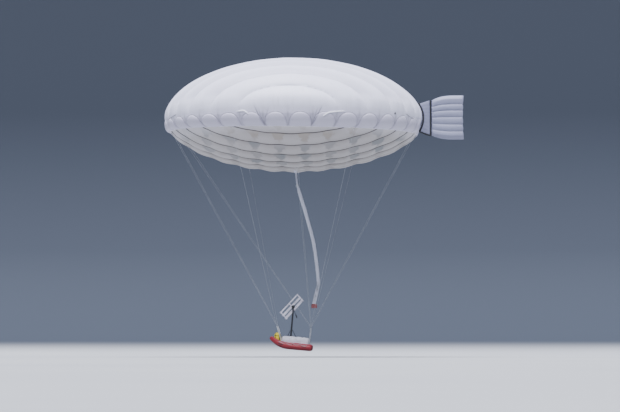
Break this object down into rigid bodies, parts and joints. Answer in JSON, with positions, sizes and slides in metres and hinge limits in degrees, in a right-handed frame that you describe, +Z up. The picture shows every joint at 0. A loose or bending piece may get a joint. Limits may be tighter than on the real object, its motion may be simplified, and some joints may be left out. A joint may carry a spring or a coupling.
{
  "type": "lens-shaped lobed gas airship with a boat gondola",
  "caption": "Round lens-shaped gas airship with a lobed cloth envelope, an inflated tail rudder, a hanging filling sleeve and a small inflatable boat slung below with a mast-top propeller.",
  "frame": {"origin": "centre of the envelope's widest plane", "axes": "+X aft to the rudder, +Y to starboard, +Z up"},
  "size_m": [14.9124, 12.7932, 14.5458],
  "materials": {
    "envelope_cloth": "satin",
    "sleeve_cloth": "satin",
    "mouth_cloth": "matte",
    "black_strap": "matte",
    "rudder_cloth": "satin",
    "hull_red": "satin",
    "floor_grey": "matte",
    "transom_board": "satin",
    "bench_grey": "satin",
    "bag_yellow": "satin",
    "mast_dark": "satin",
    "motor_black": "satin",
    "grip_rubber": "matte",
    "slat_white": "satin",
    "line_cord": "matte"
  },
  "bodies": {
    "airframe": {"envelope": "envelope_cloth", "neck_collar": "sleeve_cloth", "sleeve": "sleeve_cloth", "sleeve_tie": "line_cord", "sleeve_mouth": "mouth_cloth", "tail_strap": "black_strap", "fin_panel": "rudder_cloth", "fin_lower_strap": "black_strap", "fin_hinge_strap": "black_strap", "hull_tube": "hull_red", "hull_floor": "floor_grey", "transom": "transom_board", "bench_port": "bench_grey", "bench_starboard": "bench_grey", "bow_bag": "bag_yellow", "bag_strap": "black_strap", "mast_foot": "mast_dark", "mast": "mast_dark", "mast_collar": "mast_dark", "mast_strut_fore": "mast_dark", "mast_strut_aft": "mast_dark", "riser_bow_port": "line_cord", "riser_stern_port": "line_cord", "riser_bow_starboard": "line_cord", "riser_stern_starboard": "line_cord", "stay_bow_front_port": "line_cord", "stay_bow_side_port": "line_cord", "stay_stern_front_port": "line_cord", "stay_stern_rise_port": "line_cord", "stay_stern_side_port": "line_cord", "stay_stern_rear_port": "line_cord", "stay_bow_front_starboard": "line_cord", "stay_bow_side_starboard": "line_cord", "stay_stern_front_starboard": "line_cord", "stay_stern_rise_starboard": "line_cord", "stay_stern_side_starboard": "line_cord", "stay_stern_rear_starboard": "line_cord"},
    "thrust_head": {"motor": "motor_black", "swivel_head": "motor_black", "tiller": "mast_dark", "tiller_grip": "grip_rubber"},
    "propeller": {"propeller_hub": "motor_black", "propeller_slat_upper": "slat_white", "propeller_slat_middle": "slat_white", "propeller_slat_lower": "slat_white", "propeller_bar_outer": "slat_white", "propeller_bar_centre": "slat_white", "propeller_bar_inner": "slat_white"},
    "tail_rudder": {"rudder_spar": "mast_dark", "rudder": "rudder_cloth"}
  },
  "joints": [
    {"name": "head_swivel", "type": "hinge", "parent": "airframe", "child": "thrust_head", "pos_m": [-0.00025, 0, -9.27023], "axis": [0.0872, 0, 0.9962], "range_deg": [-25, 155]},
    {"name": "propeller_spin", "type": "hinge", "parent": "thrust_head", "child": "propeller", "pos_m": [-0.00025, 0, -9.27023], "axis": [-0.421, 0.9063, 0.0368], "continuous": true},
    {"name": "rudder_turn", "type": "hinge", "parent": "airframe", "child": "tail_rudder", "pos_m": [6.9055, 0, 0], "axis": [0, 0, 1], "range_deg": [-30, 30]}
  ]
}
